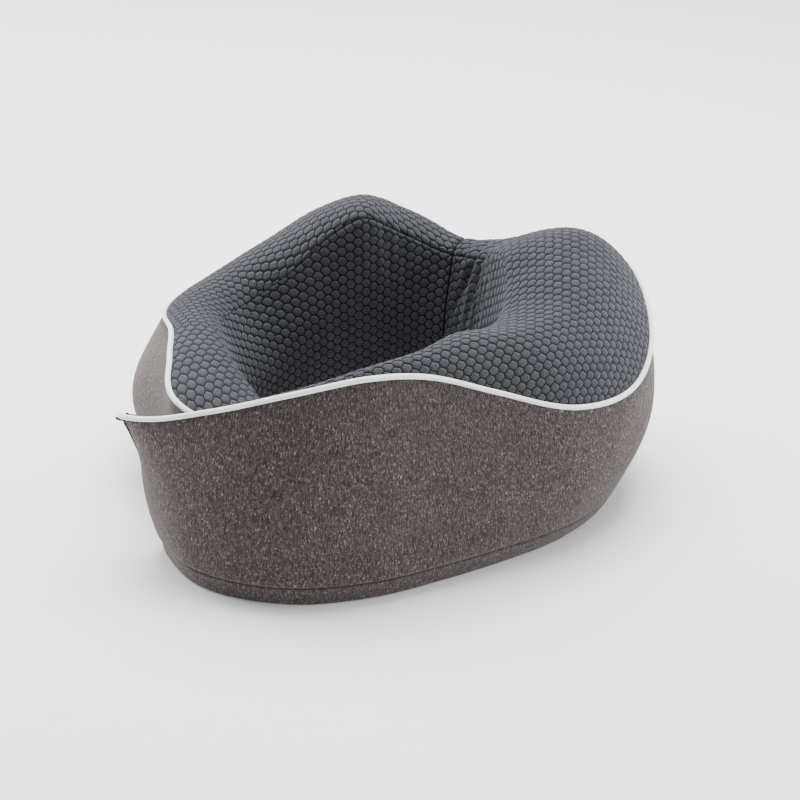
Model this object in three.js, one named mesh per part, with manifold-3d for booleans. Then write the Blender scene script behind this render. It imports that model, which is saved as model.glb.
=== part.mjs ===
// U shaped neck pillow. Millimetres, +Z up, the nape of the pillow towards +Y, its front towards -Y.
// The origin is in the middle of the footprint, on the surface that the pillow stands on.
//
// Every layer follows one outer surface, given by cross sections at angles round the neck opening.
// A section lies in the upright plane at its angle, with r measured out from the ring axis.
import * as THREE from "three";
import { mergeVertices } from "three/addons/utils/BufferGeometryUtils.js";
import Module from "manifold-3d";

const wasm = await Module();
wasm.setup();

// Layers, as depths below the outer surface.
const COVER_DEPTH = 2;
const TAPE_DEPTHS = [2.7, 3.4];
const LINER_DEPTHS = [4.8, 5.7];
const CORE_DEPTH = 8.4;

// Seams between the cover panels.
const SEAM_HEIGHT = 12;
const SEAM_GAP = 0.3;
const CENTRE_GAP = 0.4;
const PIPING_GROOVE = 2.4;
const PIPING_RADIUS = 1.5;
const PIPING_BORE = 1.1;
const PIPING_CORD_RADIUS = 0.75;

// The base seam at the back right is one circular arc, so that the zip slider can run along it.
const ZIP_CENTRE = new THREE.Vector2(30, 37);
const ZIP_RADIUS = 100;
const ZIP_START = 7.5;
const ZIP_END = 76;
const ZIP_LEAN = 30;
const ARC_FADE = [66, 78];
const ZIP_OPENING = 3.4;
const OPENING_MARGIN = 2.2;
const CORNER_ANGLE = 0.4;
const TAPE_WIDTH = 7;
const TAPE_MARGIN = 1;
const COIL = { near: 0.6, far: 2.6, top: -0.4, bottom: -1.8, steps: 18 };
const STOP = { angle: 1.1, gap: 0.3, rise: 0.9 };

// The slider, drawn at the start of the zip. Its plates and post are [along, through, across] the zip.
const SLIDER_START = ZIP_START + 2.6;
const SLIDER_PLATES = [
  { size: [8, 1.1, 5.8], out: 0.65 },
  { size: [5, 3.4, 0.7], out: -1.3 },
  { size: [7, 0.7, 3.2], out: -2.85 },
];
const EAR = { length: 2.2, from: 0.8, to: 4.1, thickness: 0.6, aside: 2.5 };
const PIN = { radius: 0.6, length: 5.2, height: 3.1, clearance: 0.35 };
const PULL = { length: 20, thickness: 0.9, width: 3.8, eyeWall: 0.6 };

// The ring axis stands a little off the origin, which is the middle of the whole footprint.
const RING_CENTRE = new THREE.Vector2(-0.73, -3.2);
const ARM_END = { right: 213, left: 185 };
const LINER_END = { right: 200, left: 173.5 };
const CORE_END = { right: 198, left: 172 };
const END_CAP_ANGLE = 0.5;
const STEP_ANGLE = 12;
const SPAN_SAMPLES = 8;
const SLEEVE_SIDES = 8;
const CORD_SIDES = 6;

// One cross section: its angle from the nape, the base edges, the seam, the widest point of the outer
// wall, the piping, the crest, the rim over the neck opening and the waist of the inner wall.
function station(angle, baseIn, baseOut, seam, bulge, piping, crest, rim, waist) {
  return { angle, values: [baseIn, baseOut, seam, ...bulge, ...piping, ...crest, ...rim, waist] };
}

const NAPE = station(0, 90, 122, 132.4, [141, 50], [134, 92], [117, 106], [105, 101], 94);

const RIGHT_STATIONS = [
  NAPE,
  station(14, 84, 128, 140.3, [148, 52], [144, 102], [116, 112], [98, 107], 86),
  station(28, 78, 133, 145.9, [156, 56], [154, 108], [117, 127], [84, 122], 75),
  station(42, 74, 135, 147.5, [162, 60], [158, 108], [118, 137], [80, 126], 71),
  station(56, 70, 134, 144.6, [160, 60], [157, 90], [110, 131], [77, 118], 69),
  station(72, 68, 128, 138.5, [150, 48], [147, 77], [104, 121], [74, 112], 68),
  station(90, 66, 117, 127, [133, 38], [128, 81], [95, 119], [72, 113], 68),
  station(110, 66, 107, 114, [116, 36], [104, 98], [83, 122], [68, 117], 67),
  station(130, 70, 106, 112, [111, 34], [95, 112], [86, 121], [75, 116], 72),
  station(150, 82, 115, 121, [119, 32], [100, 117], [95, 120], [88, 115], 85),
  station(170, 100, 127, 132.5, [132, 32], [111, 111], [106, 112], [99, 105], 101),
  station(190, 112, 133, 138, [139, 36], [122, 97], [117, 98], [110, 91], 114),
  station(204, 115, 127, 132, [137, 44], [135, 86], [130, 87], [123, 81], 120),
  station(213, 118, 122, 125, [133, 50], [144, 81], [140.8, 82.3], [137.3, 79], 127),
];

const LEFT_STATIONS = [
  NAPE,
  station(14, 84, 128, 140.3, [147, 52], [140, 98], [110, 119], [94, 114], 86),
  station(28, 78, 133, 145.9, [153, 54], [146, 98], [94, 134], [79, 129], 75),
  station(42, 74, 135, 147.5, [157, 58], [148, 91], [97, 126], [82, 118], 72),
  station(56, 72, 132, 144.6, [155, 56], [147, 81], [103, 109], [86, 99], 72),
  station(72, 72, 126, 138.5, [148, 48], [140, 77], [111, 95], [93, 84], 74),
  station(90, 72, 117, 127, [139, 46], [127, 82], [107, 94], [88, 85], 74),
  station(110, 66, 108, 116, [130, 46], [106, 90], [92, 95.5], [78, 89], 68),
  station(130, 61, 101, 107, [114, 44], [104.5, 91], [88, 94.5], [73, 89], 64),
  station(150, 61, 98, 105, [112, 44], [114, 86], [92, 90], [71, 84], 63),
  station(166, 66, 91, 96, [102, 42], [105, 81], [88, 84.5], [73, 79], 68),
  station(176, 71, 85, 89, [92, 38], [92, 78], [82.5, 80.5], [74, 76], 72.5),
  station(185, 76, 80, 82, [83.5, 36], [83, 75], [80, 76.5], [76.5, 72], 77),
];

const ARMS = {
  right: { stations: RIGHT_STATIONS, mirror: 1 },
  left: { stations: LEFT_STATIONS, mirror: -1 },
};

// A smooth curve through the stations: each value is a cubic between its neighbours, level at the nape.
function valuesAt(stations, angle) {
  const last = stations.length - 1;
  let i = stations.findIndex((s) => s.angle > angle) - 1;
  if (i < 0) i = last - 1;
  const [a, b] = [stations[i], stations[i + 1]];
  const width = b.angle - a.angle;
  const t = (angle - a.angle) / width;
  const slope = (k, n) => {
    if (k === 0) return 0;
    const [p, q] = [stations[k - 1], stations[Math.min(k + 1, last)]];
    return (q.values[n] - p.values[n]) / (q.angle - p.angle);
  };
  return a.values.map((from, n) => {
    const to = b.values[n];
    return hermite(t, from, to, slope(i, n) * width, slope(i + 1, n) * width);
  });
}

function hermite(t, from, to, leave, arrive) {
  const [t2, t3] = [t * t, t * t * t];
  const ends = (2 * t3 - 3 * t2 + 1) * from + (3 * t2 - 2 * t3) * to;
  return ends + (t3 - 2 * t2 + t) * leave + (t3 - t2) * arrive;
}

// Distance from the ring axis to the zip's arc, in the direction of an angle.
function zipArcRadius(angle) {
  const a = THREE.MathUtils.degToRad(angle);
  const along = ZIP_CENTRE.x * Math.sin(a) + ZIP_CENTRE.y * Math.cos(a);
  return along + Math.sqrt(ZIP_RADIUS ** 2 - ZIP_CENTRE.lengthSq() + along ** 2);
}

// The closed outline of one section: the points, the length along it to each, and the lengths to its
// marks. It starts at the inner edge of the base and runs under it, up the outer wall and back inside.
function section(side, angle) {
  const [baseIn, baseOut, seamRadius, bulgeR, bulgeZ, pipingR, pipingZ, crestR, crestZ, rimR, rimZ, waistR] =
    valuesAt(ARMS[side].stations, angle);
  const leaving = THREE.MathUtils.smoothstep(angle, ...ARC_FADE);
  const seamR = THREE.MathUtils.lerp(zipArcRadius(angle), seamRadius, leaving);
  const v = (x, y) => new THREE.Vector2(x, y);
  const lean = v(Math.sin(THREE.MathUtils.degToRad(ZIP_LEAN)), Math.cos(THREE.MathUtils.degToRad(ZIP_LEAN)));
  const base = { in: v(baseIn, 0), out: v(baseOut, 0) };
  const seam = v(seamR, SEAM_HEIGHT);
  const bulge = v(bulgeR, bulgeZ);
  const piping = v(pipingR, pipingZ);
  const crest = v(crestR, crestZ);
  const rim = v(rimR, rimZ);
  const waist = v(waistR, rimZ / 2);
  const wall = bulgeZ - SEAM_HEIGHT;
  const across = crestR - pipingR;
  const turn = rimR - crestR;
  const spans = [
    ["base", base.in, base.out, v(baseOut - baseIn, 0), v(baseOut - baseIn, 0)],
    ["edge", base.out, seam, v((seamR - baseOut) * 1.2 + 3, 0), lean.clone().multiplyScalar(14)],
    ["seam", seam, bulge, lean.clone().multiplyScalar(wall * 0.7), v(0, wall)],
    ["bulge", bulge, piping, v(0, pipingZ - bulgeZ), v((pipingR - bulgeR) * 1.4, (pipingZ - bulgeZ) * 0.9)],
    ["piping", piping, crest, v(across * 0.7, (crestZ - pipingZ) * 1.6), v(across * 1.2, 0)],
    ["crest", crest, rim, v(turn * 1.3, 0), v(turn * 0.6, (rimZ - crestZ) * 1.6 - 3)],
    ["rim", rim, waist, v((waistR - rimR) * 0.9, -rimZ * 0.4), v(0, -rimZ * 0.5)],
    ["waist", waist, base.in, v(0, -rimZ * 0.5), v((baseIn - waistR) * 1.1, -rimZ * 0.5)],
  ];
  const points = [base.in.clone()];
  const marks = {};
  for (const [name, from, to, leave, arrive] of spans) {
    marks[name] = points.length - 1;
    for (let i = 1; i <= SPAN_SAMPLES; i++) {
      const t = i / SPAN_SAMPLES;
      const [r, z] = ["x", "y"].map((k) => hermite(t, from[k], to[k], leave[k], arrive[k]));
      points.push(v(r, z));
    }
  }
  const lengths = [0];
  for (let i = 1; i < points.length; i++) {
    lengths.push(lengths[i - 1] + points[i].distanceTo(points[i - 1]));
  }
  for (const name of Object.keys(marks)) marks[name] = lengths[marks[name]];
  return { angle, points, lengths, marks, end: lengths.at(-1), height: crestZ };
}

function pointAt(cut, length) {
  let i = cut.lengths.findIndex((l) => l > length) - 1;
  if (i < 0) i = cut.points.length - 2;
  const t = (length - cut.lengths[i]) / (cut.lengths[i + 1] - cut.lengths[i]);
  return cut.points[i].clone().lerp(cut.points[i + 1], t);
}

// The radius of the outer or the inner wall at a height. Both walls rise steadily to the crest.
function wallAt(cut, height, outer) {
  const [from, to] = outer ? [cut.marks.edge, cut.marks.crest] : [cut.marks.crest, cut.end];
  const wall = cut.points.filter((_, i) => cut.lengths[i] >= from && cut.lengths[i] <= to);
  if (!outer) wall.reverse();
  const above = wall.findIndex((p) => p.y >= height);
  const i = above < 0 ? wall.length - 1 : Math.max(1, above);
  const [a, b] = [wall[i - 1], wall[i]];
  const t = THREE.MathUtils.clamp((height - a.y) / Math.max(b.y - a.y, 1e-6), 0, 1);
  return a.x + (b.x - a.x) * t;
}

// Moves a point of a section inwards by a depth. Where an arm is thinner than four depths it moves less,
// so that it never crosses the middle and deeper layers stay inside shallower ones.
function inset(cut, point, depth) {
  if (depth === 0) return point;
  const [inner, outer] = [wallAt(cut, point.y, false), wallAt(cut, point.y, true)];
  const width = outer - inner;
  const middle = (outer + inner) / 2;
  const share = width > 4 * depth ? 1 - (2 * depth) / width : width / (8 * depth);
  const z = depth + point.y * (1 - (2 * depth) / cut.height);
  return new THREE.Vector2(middle + (point.x - middle) * share, z);
}

// Points at a depth. Each span is [from, to, count], in lengths along the section.
function chain(cut, spans, depth) {
  const spaced = spans.flatMap(([from, to, count]) =>
    Array.from({ length: count }, (_, i) => from + ((to - from) * i) / count));
  return [...spaced, spans.at(-1)[1]].map((length) => inset(cut, pointAt(cut, length), depth));
}

// The whole section at a depth, as one loop.
function loopAt(cut, depth) {
  const { edge, seam, bulge, piping, crest, rim, waist } = cut.marks;
  const spans = [[0, edge, 2], [edge, seam, 2], [seam, bulge, 2], [bulge, piping, 3], [piping, crest, 3],
    [crest, rim, 2], [rim, waist, 2], [waist, cut.end, 2]];
  return chain(cut, spans, depth).slice(0, -1);
}

// The angles of a layer's slices. All layers share them, so that flat faces stay nested too.
function anglesTo(side, end, extra = [], step = STEP_ANGLE) {
  const regular = Array.from({ length: Math.ceil(CORE_END[side] / step) }, (_, i) => i * step);
  return [...regular, CORE_END[side], ...extra, end].filter((a, i, all) => all.indexOf(a) === i && a <= end)
    .sort((a, b) => a - b);
}

// A slice is one closed loop in the upright plane at an angle round an axis.
function slicePoint(p, angle, mirror, axis) {
  const a = THREE.MathUtils.degToRad(angle);
  return [mirror * (axis.x + p.x * Math.sin(a) + CENTRE_GAP / 2), axis.y + p.x * Math.cos(a), p.y];
}

const RING_AXIS = new THREE.Vector2(0, 0);

function geometryFrom(positions, faces, mirror) {
  const g = new THREE.BufferGeometry();
  g.setAttribute("position", new THREE.Float32BufferAttribute(positions, 3));
  g.setIndex(faces.flatMap(([a, b, c]) => (mirror > 0 ? [a, c, b] : [a, b, c])));
  g.computeVertexNormals();
  return g;
}

function bridge(first, second, count) {
  const faces = [];
  for (let i = 0; i < count; i++) {
    const j = (i + 1) % count;
    faces.push([first + i, second + j, first + j], [first + i, second + i, second + j]);
  }
  return faces;
}

const flipped = (faces) => faces.map(([a, b, c]) => [a, c, b]);

// A solid through slices with the same number of points, closed at both ends.
function loft(slices, mirror = 1, axis = RING_AXIS) {
  const n = slices[0].loop.length;
  const positions = slices.flatMap((s) => s.loop.flatMap((p) => slicePoint(p, s.angle, mirror, axis)));
  const faces = [];
  for (let k = 1; k < slices.length; k++) faces.push(...bridge((k - 1) * n, k * n, n));
  const last = (slices.length - 1) * n;
  const cap = (slice) => THREE.ShapeUtils.triangulateShape(slice.loop, []);
  for (const [a, b, c] of cap(slices[0])) faces.push([a, b, c]);
  for (const [a, b, c] of cap(slices.at(-1))) faces.push([last + a, last + c, last + b]);
  return geometryFrom(positions, faces, mirror);
}

// A hollow solid between two lofts: open at the first slice, and closed or open at the last one.
function hollow(outer, inner, closed, mirror) {
  const n = outer[0].loop.length;
  const all = [...outer, ...inner];
  const positions = all.flatMap((s) => s.loop.flatMap((p) => slicePoint(p, s.angle, mirror, RING_AXIS)));
  const faces = [];
  const inside = outer.length * n;
  for (let k = 1; k < outer.length; k++) faces.push(...bridge((k - 1) * n, k * n, n));
  for (let k = 1; k < inner.length; k++) {
    faces.push(...flipped(bridge(inside + (k - 1) * n, inside + k * n, n)));
  }
  faces.push(...bridge(inside, 0, n));
  const outerEnd = (outer.length - 1) * n;
  const innerEnd = inside + (inner.length - 1) * n;
  if (closed) {
    const cap = (slice) => THREE.ShapeUtils.triangulateShape(slice.loop, []);
    for (const [a, b, c] of cap(outer.at(-1))) faces.push([outerEnd + a, outerEnd + c, outerEnd + b]);
    for (const [a, b, c] of cap(inner.at(-1))) faces.push([innerEnd + a, innerEnd + b, innerEnd + c]);
  } else {
    faces.push(...bridge(outerEnd, innerEnd, n));
  }
  return geometryFrom(positions, faces, mirror);
}

function slicesAt(side, depth, end) {
  return anglesTo(side, end).map((angle) => ({ angle, loop: loopAt(section(side, angle), depth) }));
}

function foamCore(side) {
  return loft(slicesAt(side, CORE_DEPTH, CORE_END[side]), ARMS[side].mirror);
}

function innerLiner(side) {
  const [outerDepth, innerDepth] = LINER_DEPTHS;
  const outer = slicesAt(side, outerDepth, LINER_END[side]);
  const inner = slicesAt(side, innerDepth, LINER_END[side] - END_CAP_ANGLE);
  return hollow(outer, inner, true, ARMS[side].mirror);
}

// The angles where the zip opens the base seam, seen from the ring axis.
function ringAngle(zipAngle) {
  const a = THREE.MathUtils.degToRad(zipAngle);
  const x = ZIP_CENTRE.x + ZIP_RADIUS * Math.sin(a);
  const y = ZIP_CENTRE.y + ZIP_RADIUS * Math.cos(a);
  return THREE.MathUtils.radToDeg(Math.atan2(x, y));
}

const OPENING = [ringAngle(ZIP_START - OPENING_MARGIN), ringAngle(ZIP_END + OPENING_MARGIN)];

function seamClearance(side, angle) {
  const open = side === "right" && angle > OPENING[0] && angle < OPENING[1];
  return open ? ZIP_OPENING : SEAM_GAP / 2;
}

// A fabric panel over the spans that a function gives for each section.
function panel(side, spansAt, depths = [0, COVER_DEPTH], angles = anglesTo(side, ARM_END[side])) {
  const slices = angles.map((angle) => {
    const cut = section(side, angle);
    const [outside, inside] = depths.map((depth) => chain(cut, spansAt(cut), depth));
    return { angle, loop: [...outside, ...inside.reverse()] };
  });
  return loft(slices, ARMS[side].mirror);
}

// The panels that meet at the zip step back from the seam along its opening.
function zippedPanel(side, spansAt) {
  const corners = side === "right" ? OPENING.flatMap((a) => [a - CORNER_ANGLE, a + CORNER_ANGLE]) : [];
  return panel(side, spansAt, [0, COVER_DEPTH], anglesTo(side, ARM_END[side], corners));
}

function basePanel(side) {
  return zippedPanel(side, ({ angle, marks }) => [
    [SEAM_GAP, marks.edge, 2],
    [marks.edge, marks.seam - seamClearance(side, angle), 2],
  ]);
}

function outerBand(side) {
  return zippedPanel(side, ({ angle, marks }) => [
    [marks.seam + seamClearance(side, angle), marks.bulge, 2],
    [marks.bulge, marks.piping - PIPING_GROOVE, 3],
  ]);
}

function topPanel(side) {
  return panel(side, ({ marks }) => [
    [marks.piping + PIPING_GROOVE, marks.crest, 3],
    [marks.crest, marks.rim - SEAM_GAP / 2, 2],
  ]);
}

function collarPanel(side) {
  return panel(side, ({ marks, end }) => [
    [marks.rim + SEAM_GAP / 2, marks.waist, 2],
    [marks.waist, end - SEAM_GAP, 2],
  ]);
}

// The piping stands half out of the groove between the band and the top panel.
function pipingSlices(side, radius, sides) {
  return anglesTo(side, ARM_END[side], [], STEP_ANGLE / 2).map((angle) => {
    const cut = section(side, angle);
    const centre = pointAt(cut, cut.marks.piping);
    const loop = Array.from({ length: sides }, (_, k) => {
      const turn = (2 * Math.PI * k) / sides;
      return new THREE.Vector2(centre.x + radius * Math.cos(turn), centre.y + radius * Math.sin(turn));
    });
    return { angle, loop };
  });
}

function pipingSleeve(side) {
  const outer = pipingSlices(side, PIPING_RADIUS, SLEEVE_SIDES);
  const inner = pipingSlices(side, PIPING_BORE, SLEEVE_SIDES);
  return hollow(outer, inner, false, ARMS[side].mirror);
}

function pipingCord(side) {
  return loft(pipingSlices(side, PIPING_CORD_RADIUS, CORD_SIDES), ARMS[side].mirror);
}

// Zip parts are drawn in the seam's own plane: q runs up the leaning wall, p points out of it.
function zipPoint(p, q) {
  const lean = THREE.MathUtils.degToRad(ZIP_LEAN);
  return new THREE.Vector2(
    ZIP_RADIUS + q * Math.sin(lean) + p * Math.cos(lean),
    SEAM_HEIGHT + q * Math.cos(lean) - p * Math.sin(lean),
  );
}

function zipBar(pRange, qRange, from, to, steps) {
  const [p0, p1] = pRange;
  const [q0, q1] = qRange;
  const loop = [zipPoint(p0, q0), zipPoint(p1, q0), zipPoint(p1, q1), zipPoint(p0, q1)];
  const slices = Array.from({ length: steps + 1 }, (_, i) => {
    return { angle: from + ((to - from) * i) / steps, loop };
  });
  return loft(slices, 1, ZIP_CENTRE);
}

function zipCoil(direction) {
  const q = [direction * COIL.near, direction * COIL.far].sort((a, b) => a - b);
  return zipBar([COIL.bottom, COIL.top], q, ZIP_START, ZIP_END, COIL.steps);
}

function zipStop(from) {
  return zipBar([COIL.bottom, COIL.top + STOP.rise], [-COIL.far, COIL.far], from, from + STOP.angle, 1);
}

function zipTape(direction) {
  const [first, last] = [OPENING[0] + TAPE_MARGIN, OPENING[1] - TAPE_MARGIN];
  const angles = anglesTo("right", last, [first]).filter((a) => a >= first);
  return panel("right", ({ marks }) => {
    const edge = marks.seam + direction * COIL.far;
    return direction > 0 ? [[edge, edge + TAPE_WIDTH, 2]] : [[edge - TAPE_WIDTH, edge, 2]];
  }, TAPE_DEPTHS, angles);
}

// A frame on the seam at a zip angle: x along the zip, y out of the wall, z up the leaning wall.
function zipFrame(zipAngle) {
  const lean = THREE.MathUtils.degToRad(ZIP_LEAN);
  const a = THREE.MathUtils.degToRad(zipAngle);
  const radial = new THREE.Vector3(Math.sin(a), Math.cos(a), 0);
  const up = new THREE.Vector3(0, 0, 1);
  const z = radial.clone().multiplyScalar(Math.sin(lean)).addScaledVector(up, Math.cos(lean));
  const y = radial.clone().multiplyScalar(Math.cos(lean)).addScaledVector(up, -Math.sin(lean));
  const origin = radial.clone().multiplyScalar(ZIP_RADIUS).add(new THREE.Vector3(
    ZIP_CENTRE.x + CENTRE_GAP / 2, ZIP_CENTRE.y, SEAM_HEIGHT));
  const x = y.clone().cross(z);
  return new THREE.Matrix4().makeBasis(x, y, z).setPosition(origin);
}

function manifoldOf(geometry) {
  const bare = geometry.clone();
  bare.deleteAttribute("normal");
  bare.deleteAttribute("uv");
  const merged = mergeVertices(bare, 1e-4);
  return new wasm.Manifold(new wasm.Mesh({
    numProp: 3,
    vertProperties: merged.attributes.position.array,
    triVerts: new Uint32Array(merged.index.array),
  }));
}

function geometryOf(solid) {
  const mesh = solid.getMesh();
  const g = new THREE.BufferGeometry();
  g.setAttribute("position", new THREE.BufferAttribute(new Float32Array(mesh.vertProperties), 3));
  g.setIndex(new THREE.BufferAttribute(new Uint32Array(mesh.triVerts), 1));
  g.computeVertexNormals();
  return g;
}

function block(size, centre) {
  return new THREE.BoxGeometry(...size).translate(...centre);
}

// Two plates joined by a post that runs between the coils, with two ears that hold the pull's pin.
function zipSlider() {
  const plates = SLIDER_PLATES.map(({ size, out }) => block(size, [0, out, 0]));
  const ears = [-1, 1].map((side) =>
    block([EAR.length, EAR.to - EAR.from, EAR.thickness], [0, (EAR.to + EAR.from) / 2, side * EAR.aside]));
  const pin = new THREE.CylinderGeometry(PIN.radius, PIN.radius, PIN.length, 12)
    .rotateX(Math.PI / 2)
    .translate(0, PIN.height, 0);
  return geometryOf([...plates, ...ears, pin].map(manifoldOf).reduce((all, piece) => all.add(piece)));
}

// A metal tab with a rolled eye round the pin. It lies back along the zip.
function zipPull() {
  const bore = PIN.radius + PIN.clearance;
  const eye = bore + PULL.eyeWall;
  const outline = new THREE.Shape();
  const start = Math.asin(PULL.thickness / 2 / eye);
  outline.absarc(0, 0, eye, start, 2 * Math.PI - start, false);
  outline.lineTo(PULL.length, -PULL.thickness / 2);
  outline.lineTo(PULL.length, PULL.thickness / 2);
  const hole = new THREE.Path().absarc(0, 0, bore, 0, 2 * Math.PI, true);
  outline.holes.push(hole);
  const extrusion = { depth: PULL.width, bevelEnabled: false, curveSegments: 8 };
  return new THREE.ExtrudeGeometry(outline, extrusion).translate(0, PIN.height, -PULL.width / 2);
}

function fabric(color, roughness = 0.95) {
  return new THREE.MeshStandardMaterial({ color, roughness, metalness: 0 });
}
const MATERIALS = {
  foam: fabric(0xe9dcc0),
  liner: fabric(0xd9d9d6),
  honeycomb: fabric(0x4c5159),
  heather: fabric(0x7d716a),
  piping: fabric(0xe8e8e8, 0.8),
  tape: fabric(0x5b544f),
  coil: new THREE.MeshStandardMaterial({ color: 0x3c3a3a, roughness: 0.5, metalness: 0 }),
  metal: new THREE.MeshStandardMaterial({ color: 0x6d6a68, roughness: 0.35, metalness: 1 }),
};

const pillow = new THREE.Group();
pillow.position.set(RING_CENTRE.x, RING_CENTRE.y, 0);

function add(name, geometry, material) {
  const mesh = new THREE.Mesh(geometry, material);
  mesh.name = name;
  pillow.add(mesh);
  return mesh;
}

for (const side of ["left", "right"]) {
  add(`foam_core_${side}`, foamCore(side), MATERIALS.foam);
  add(`inner_liner_${side}`, innerLiner(side), MATERIALS.liner);
  add(`base_panel_${side}`, basePanel(side), MATERIALS.heather);
  add(`outer_band_${side}`, outerBand(side), MATERIALS.heather);
  add(`top_panel_${side}`, topPanel(side), MATERIALS.honeycomb);
  add(`collar_panel_${side}`, collarPanel(side), MATERIALS.honeycomb);
  add(`piping_sleeve_${side}`, pipingSleeve(side), MATERIALS.piping);
  add(`piping_cord_${side}`, pipingCord(side), MATERIALS.piping);
}

add("zip_tape_band", zipTape(1), MATERIALS.tape);
add("zip_tape_base", zipTape(-1), MATERIALS.tape);
add("zip_coil_band", zipCoil(1), MATERIALS.coil);
add("zip_coil_base", zipCoil(-1), MATERIALS.coil);
add("zip_top_stop", zipStop(ZIP_START - STOP.angle - STOP.gap), MATERIALS.metal);
add("zip_bottom_stop", zipStop(ZIP_END + STOP.gap), MATERIALS.metal);

const parked = new THREE.Group();
parked.applyMatrix4(zipFrame(SLIDER_START));
pillow.add(parked);
for (const [name, geometry] of [["zip_slider", zipSlider()], ["zip_pull", zipPull()]]) {
  const mesh = new THREE.Mesh(geometry, MATERIALS.metal);
  mesh.name = name;
  parked.add(mesh);
}

export default pillow;
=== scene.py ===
"""A u shaped neck pillow in its knitted cover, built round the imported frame.

Metres, +Z up, the nape towards +Y. Shapes are laid out in millimetres on cross sections: r runs out from the
ring axis, z up from the floor, and the angle runs from the nape, negative to the left. The cover panels follow
the same sections as the frame's, with their seams, relief and folds added.
"""

import math

import bpy
import numpy as np
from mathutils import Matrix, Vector


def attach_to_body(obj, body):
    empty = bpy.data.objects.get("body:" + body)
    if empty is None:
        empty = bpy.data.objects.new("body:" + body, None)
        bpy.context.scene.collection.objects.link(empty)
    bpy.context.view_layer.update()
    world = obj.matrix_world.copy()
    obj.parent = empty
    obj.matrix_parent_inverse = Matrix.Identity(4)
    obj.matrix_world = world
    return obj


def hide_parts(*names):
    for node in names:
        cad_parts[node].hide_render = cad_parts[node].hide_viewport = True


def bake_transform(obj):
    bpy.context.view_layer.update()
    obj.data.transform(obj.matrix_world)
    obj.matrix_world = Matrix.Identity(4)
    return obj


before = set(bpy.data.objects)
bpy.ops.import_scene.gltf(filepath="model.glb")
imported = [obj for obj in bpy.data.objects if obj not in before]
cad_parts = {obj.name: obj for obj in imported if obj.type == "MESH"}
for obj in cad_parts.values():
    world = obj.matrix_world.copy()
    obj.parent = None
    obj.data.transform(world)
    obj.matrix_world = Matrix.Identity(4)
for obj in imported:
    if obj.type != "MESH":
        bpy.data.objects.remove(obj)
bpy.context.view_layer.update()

MM = 0.001

# Columns: angle, base inner edge, base outer edge, base seam, then radius and height of the widest point, the
# piping, the crest and the rim, and the radius of the inner wall's waist.
NAPE = [0, 90, 122, 132.4, 141, 50, 134, 92, 117, 106, 105, 101, 94]
STATIONS = {
    "right": [
        NAPE,
        [14, 84, 128, 140.3, 148, 52, 144, 102, 116, 112, 98, 107, 86],
        [28, 78, 133, 145.9, 156, 56, 154, 108, 117, 127, 84, 122, 75],
        [42, 74, 135, 147.5, 162, 60, 158, 108, 118, 137, 80, 126, 71],
        [56, 70, 134, 144.6, 160, 60, 157, 90, 110, 131, 77, 118, 69],
        [72, 68, 128, 138.5, 150, 48, 147, 77, 104, 121, 74, 112, 68],
        [90, 66, 117, 127, 133, 38, 128, 81, 95, 119, 72, 113, 68],
        [110, 66, 107, 114, 116, 36, 104, 98, 83, 122, 68, 117, 67],
        [130, 70, 106, 112, 111, 34, 95, 112, 86, 121, 75, 116, 72],
        [150, 82, 115, 121, 119, 32, 100, 117, 95, 120, 88, 115, 85],
        [170, 100, 127, 132.5, 132, 32, 111, 111, 108, 111.3, 99, 105, 101],
        [190, 112, 133, 138, 139, 36, 122, 97, 119, 97.3, 110, 91, 114],
        [204, 115, 127, 132, 137, 44, 135, 86, 132, 86.3, 123, 81, 120],
        [213, 118, 122, 125, 133, 50, 144, 81, 141.5, 81.5, 137.5, 78, 127],
    ],
    "left": [
        NAPE,
        [14, 84, 128, 140.3, 147, 52, 140, 98, 110, 119, 94, 114, 86],
        [28, 78, 133, 145.9, 153, 54, 146, 98, 94, 134, 79, 129, 75],
        [42, 74, 135, 147.5, 157, 58, 148, 91, 97, 126, 82, 118, 72],
        [56, 72, 132, 144.6, 155, 56, 147, 81, 103, 109, 86, 99, 72],
        [72, 72, 126, 138.5, 148, 48, 140, 77, 111, 95, 93, 84, 74],
        [90, 72, 117, 127, 139, 46, 127, 82, 107, 94, 88, 85, 74],
        [110, 66, 108, 116, 130, 46, 106, 90, 92, 95.5, 78, 89, 68],
        [130, 61, 101, 107, 114, 44, 104.5, 91, 88, 94.5, 73, 89, 64],
        [150, 61, 98, 105, 112, 44, 114, 86, 92, 90, 71, 84, 63],
        [166, 66, 93, 98, 106, 42, 108.5, 81, 90, 84.5, 74, 79, 68],
        [176, 71, 88, 93, 98, 38, 98.5, 78, 86, 80.5, 76, 76, 72.5],
        [185, 76, 83, 86, 90, 36, 90, 75, 83, 76.5, 78.5, 72, 77],
    ],
}
RING_CENTRE = (-0.73, -3.2)
ARM_END = {"right": 213.0, "left": 185.0}
CORE_END = {"right": 198.0, "left": 172.0}
LINER_END = {"right": 200.0, "left": 173.5}
CORE_DEPTH = 8.4
LINER_DEPTHS = (4.8, 5.7)
TIP_ANGLE = 5.0
TIP_LEAN = 0.42
SEAM_HEIGHT = 12.0
SPAN_SAMPLES = 48

# The zip runs in the base seam at the back right, on the arc that its slider turns round.
ZIP_CENTRE = (30.0, 37.0)
ZIP_RADIUS = 100.0
ZIP_RANGE = (7.5, 76.0)
ARC_FADE = (66.0, 78.0)
ZIP_MARGIN = 2.2
ZIP_LEAN = math.radians(30)
ZIP_OPENING = 3.4
ZIP_FADE = 1.6

# Honeycomb cells, as the spacing of their columns and their pitch along a column.
COLUMN = 5.0
PITCH = 6.6
WALL_CELL = (4.5, 5.5)
TOP_CELL = {"left": (4.3, 5.0), "right": (3.85, 5.9)}
GRAIN = {"left": (-0.2, -0.98), "right": (0.466, 0.885)}
RELIEF = 0.5
CONTINUOUS_FROM = -112.0

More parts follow.
